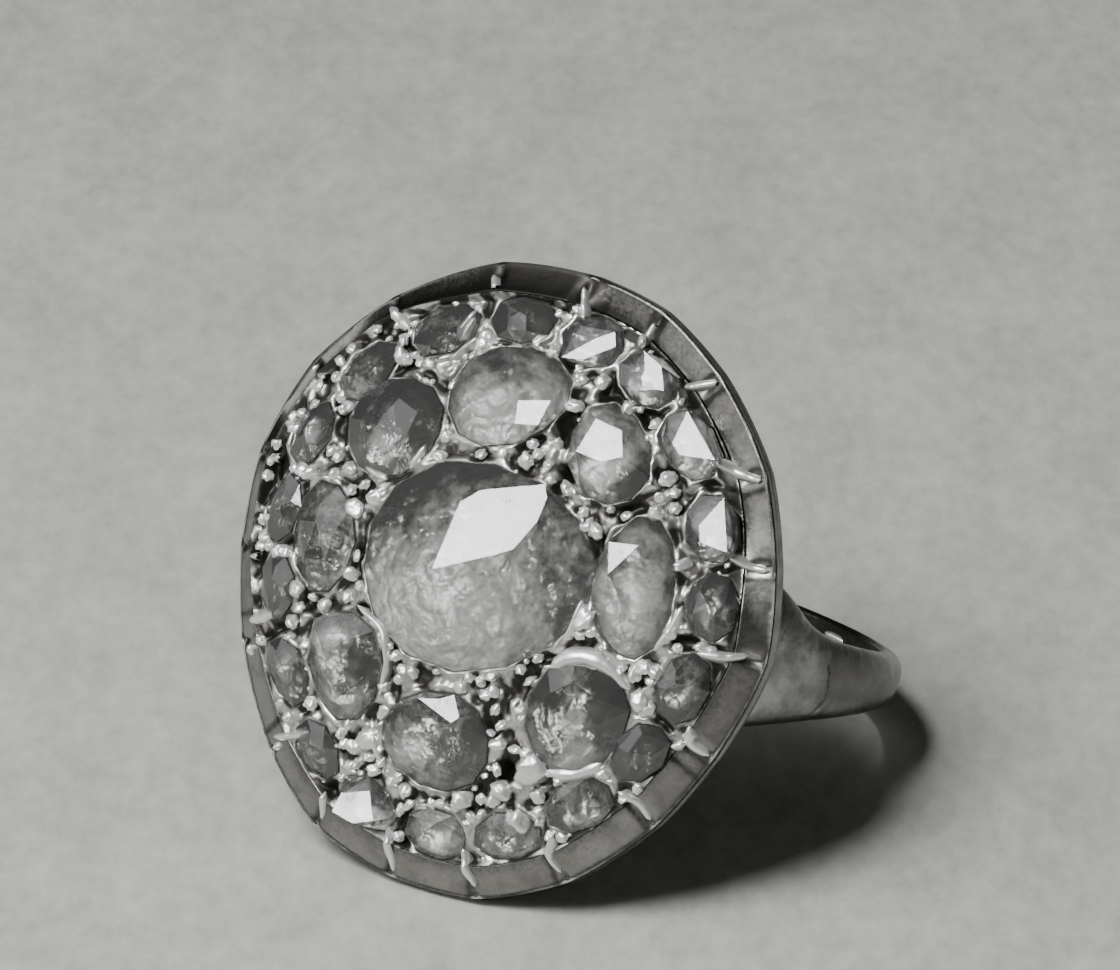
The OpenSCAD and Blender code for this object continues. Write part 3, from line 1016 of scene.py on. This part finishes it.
def make_claws():
    """A fold of metal over the collar near each corner of the rim, and those beside the stones."""
    routes = [(width, [at_clock(*place) for place in route]) for width, *route in CLAWS]
    routes += [(width, route) for width, *route in RIDGES]
    points, faces = [], []
    for width, route in routes:
        route = np.array(route, float)
        count = 8 * len(route)
        shares = np.linspace(0, len(route) - 1, count)
        places = np.stack([np.interp(shares, np.arange(len(route)), side) for side in route.T], 1)
        padded = np.pad(places, ((3, 3), (0, 0)), "edge")
        places = np.stack([padded[k:k + count] for k in range(7)]).mean(0)
        along = np.linspace(0, 1, count)
        swell = np.interp(along, [0, 0.1, 0.3, 0.75, 0.92, 1], [0.25, 0.85, 1.15, 1.05, 0.75, 0.15])
        swell *= 1 + 0.3 * unevenness(places, 2.2, 11.0)
        body = np.column_stack([places, face_height(places) + 0.04 + 0.12 * swell])
        more, sides_of = ridge(body, width * swell, 0.22 * swell + 0.08)
        faces += [tuple(i + len(points) for i in face) for face in sides_of]
        points += more
    points = off_floor(np.array(points))
    piece("claws", points, faces, CUT, [MOUNTING], masks={"shade_and_dirt": np.zeros(len(points))})


# Beads of metal with a place of their own
GRAINS = (
    # clock angle, distance, radius
    (7, 4.20, 0.27), (31, 4.40, 0.22), (50, 4.45, 0.25), (95, 4.75, 0.24), (150, 4.05, 0.2),
    (168, 3.85, 0.24), (208, 3.95, 0.22), (252, 4.75, 0.25), (285, 4.75, 0.27), (322, 4.20, 0.22),
    (12, 6.55, 0.26), (54, 6.70, 0.27), (101, 6.65, 0.27), (153, 5.75, 0.25), (199, 5.80, 0.25),
    (242, 6.00, 0.25), (287, 6.30, 0.25), (331, 6.60, 0.22), (358, 7.85, 0.24), (14, 7.70, 0.25),
    (24, 7.60, 0.24), (32, 7.95, 0.2), (46, 7.45, 0.27), (54, 7.35, 0.22), (69, 7.35, 0.24),
    (87, 7.20, 0.3), (98, 7.20, 0.25), (108, 7.55, 0.27), (128, 7.95, 0.22), (146, 7.70, 0.25),
    (158, 7.55, 0.25), (168, 7.70, 0.27), (184, 7.80, 0.25), (194, 7.75, 0.22), (202, 7.60, 0.25),
    (219, 7.90, 0.25), (240, 7.55, 0.25), (258, 7.80, 0.25), (279, 7.75, 0.25), (297, 8.05, 0.25),
    (317, 8.10, 0.25), (338, 7.90, 0.22),
    # on the left, up to the collar
    (261, 8.9, 0.24), (258, 8.1, 0.26), (278.5, 8.1, 0.27), (288, 8.55, 0.3), (291.5, 9.2, 0.2),
    (285, 9.2, 0.2), (298, 8.5, 0.22), (299, 9.3, 0.2), (303.8, 8.15, 0.2), (315.6, 8.3, 0.3),
    (339, 8.1, 0.25), (353.6, 8.1, 0.24), (237.2, 9.75, 0.16), (217.4, 10.1, 0.17), (154, 8.4, 0.34),
    # bright pushed-up metal
    (144.7, 6.85, 0.5), (152.7, 8.31, 0.42), (167.2, 7.53, 0.36), (199.4, 6.95, 0.4),
    (287.3, 8.42, 0.35), (91.2, 4.35, 0.42), (53.4, 4.61, 0.3), (155.5, 7.26, 0.34),
    (248.6, 7.23, 0.3), (276.8, 5.3, 0.34), (98.2, 6.8, 0.3), (107.2, 7.21, 0.34),
)

# Smaller ones fill the room that is left, up to this many in all
SMALLEST_BEAD = 0.07
LARGEST_CHANCE_BEAD = 0.19
MOST_BEADS = 230

# How flat beads are, and how much they differ in their turn to the lamp
BEAD_FLATNESS = 0.6
BEAD_SCATTER = 0.16


def make_grains():
    """Beads of metal raised between the stones, none quite round, with small ones among them.
    They are flattened and turned more or less to the lamp."""
    spots = [(*at_clock(clock, distance), size) for clock, distance, size in GRAINS]
    voids = [(*at_clock(clock, distance), size) for clock, distance, size in VOIDS]
    tries = RANDOM.uniform(-10, 10, (6000, 2))
    away = np.stack([seat.distance(tries) for seat in SEATS]).min(0)
    clocks = clock_of(tries)
    room = rim_distance(clocks) - collar_width(clocks) - np.hypot(*tries.T)
    for (u, v), free, inside in zip(tries, away, room):
        size = float(np.clip(free * RANDOM.uniform(0.6, 1.2), SMALLEST_BEAD, LARGEST_CHANCE_BEAD))
        clear = all(math.hypot(u - x, v - y) > 0.85 * (size + other) for x, y, other in spots)
        clear = clear and all(math.hypot(u - x, v - y) > 0.9 * other for x, y, other in voids)
        if free > SMALLEST_BEAD and inside > 0.1 and clear and len(spots) < MOST_BEADS:
            spots.append((u, v, size))
    unit, sides = unit_ball()
    points, faces = [], []
    for u, v, size in spots:
        spin = RANDOM.uniform(0, math.pi)
        stretch = RANDOM.uniform(0.8, 1.25)
        cosine, sine = math.cos(spin), math.sin(spin)
        turn = np.array([[cosine, sine, 0], [-sine, cosine, 0], [0, 0, 1]])
        seed = Vector((u * 3, v * 3, 5))
        rough = np.array([1 + 0.4 * noise.noise(Vector(p) * 1.7 + seed) for p in unit])
        form = unit * rough[:, None] * (size * stretch, size / stretch, size * BEAD_FLATNESS) @ turn
        form[:, 2] -= form[:, :2] @ (LAMP_FALL + RANDOM.normal(0, BEAD_SCATTER, 2))
        faces += [[i + len(points) for i in face] for face in sides]
        points += list(form + (u, v, dome(u, v) - 0.05 + 0.1 * size))
    piece("grains", points, faces, CUT, [MOUNTING], masks={"shade_and_dirt": np.zeros(len(points))})


# Floor, lamps and camera

def view_axes():
    """Camera's right, up and back while it points at the finger hole."""
    turn, roll = math.radians(CAMERA_AZIMUTH), math.radians(CAMERA_ROLL)
    back = towards(CAMERA_AZIMUTH, CAMERA_ELEVATION)
    level = np.array([math.cos(turn), math.sin(turn), 0])
    upright = np.cross(back, level)
    right = math.cos(roll) * level + math.sin(roll) * upright
    return right, np.cross(back, right), back


def make_camera():
    right, up, back = view_axes()
    place = HOLE_CENTRE + CAMERA_DISTANCE * back
    focal = PIXELS_PER_MM * CAMERA_DISTANCE
    aside = FRAME_WIDTH / 2 - HOLE_PIXEL[0]
    below = FRAME_HEIGHT / 2 - HOLE_PIXEL[1]
    aim = (right * aside - up * below) / focal - back
    aim /= np.linalg.norm(aim)
    side = np.cross(aim, up)
    side /= np.linalg.norm(side)
    data = bpy.data.cameras.new("camera")
    data.sensor_width = 36
    data.lens = focal / FRAME_WIDTH * data.sensor_width
    data.clip_start, data.clip_end = 0.01, 10
    made = put("camera", data)
    made.matrix_world = turned_to([side, np.cross(side, aim), -aim], place / 1000)
    bpy.context.scene.camera = made


def make_floor():
    mesh = bpy.data.meshes.new("floor")
    reach = 1.5
    corners = [(-reach, -reach, 0), (reach, -reach, 0), (reach, reach, 0), (-reach, reach, 0)]
    mesh.from_pydata(corners, [], [(0, 1, 2, 3)])
    mesh.materials.append(paper_material())
    put("floor", mesh)


def make_lamp(name, azimuth, elevation, distance, length, width, turned, watts):
    """A soft oval lamp that faces the ring, its length turned up from level. Sizes in metres."""
    turn, tilt = math.radians(azimuth), math.radians(turned)
    way = towards(azimuth, elevation)
    level = np.array([math.cos(turn), math.sin(turn), 0])
    lengthways = math.cos(tilt) * level + math.sin(tilt) * np.cross(way, level)
    data = bpy.data.lights.new(name, "AREA")
    data.shape = "ELLIPSE"
    data.size, data.size_y = length, width
    data.energy = watts
    axes = [lengthways, np.cross(way, lengthways), way]
    put(name, data).matrix_world = turned_to(axes, way * distance)


# Light in the room round the ring
GLOWS = (
    # azimuth, elevation, angle of its even middle, angle where it ends, strength
    (30, 12, 15, 48, 0.32),
    (170, 12, 12, 60, 0.085),
)
ROOM_LEVEL = 0.011


def make_surroundings():
    """A dark room, lighter low down in front of the ring and dim behind it."""
    world = bpy.data.worlds.new("room")
    world.use_nodes = True
    tree = world.node_tree
    place = node(tree, "ShaderNodeTexCoord").outputs["Generated"]
    parts = node(tree, "ShaderNodeSeparateXYZ")
    link(tree, place, parts.inputs[0])
    low = spread(tree, parts.outputs["Z"], 0.15, 0.55, 1, 0)

    def glow(azimuth, elevation, inner, outer, level):
        made = node(tree, "ShaderNodeVectorMath", operation="DOT_PRODUCT")
        link(tree, place, made.inputs[0])
        made.inputs[1].default_value = towards(azimuth, elevation)
        glowing = spread(tree, made.outputs["Value"], math.cos(math.radians(outer)),
                         math.cos(math.radians(inner)), 0, level)
        return maths(tree, "MULTIPLY", glowing, low)

    front, rear = (glow(*row) for row in GLOWS)
    total = maths(tree, "ADD", maths(tree, "ADD", front, rear), ROOM_LEVEL)
    background = tree.nodes["Background"]
    background.inputs["Color"].default_value = (1, 0.99, 0.96, 1)
    link(tree, total, background.inputs["Strength"])
    bpy.context.scene.world = world


make_camera()
make_floor()
make_lamp("key", azimuth=-11, elevation=57.5, distance=0.3, length=0.16, width=0.088, turned=112,
          watts=0.62)
make_lamp("spill", azimuth=-45, elevation=38, distance=0.4, length=0.4, width=0.4, turned=0,
          watts=0.42)
make_surroundings()
make_hoop()
make_solder_drop()
make_head_wall()
make_collar()
make_foils()
make_bed()
make_claws()
make_grains()
for stone_seat in SEATS:
    make_stone(stone_seat)

settings = bpy.context.scene.view_settings
settings.view_transform = "AgX"
settings.look = "None"
settings.exposure = 0.35
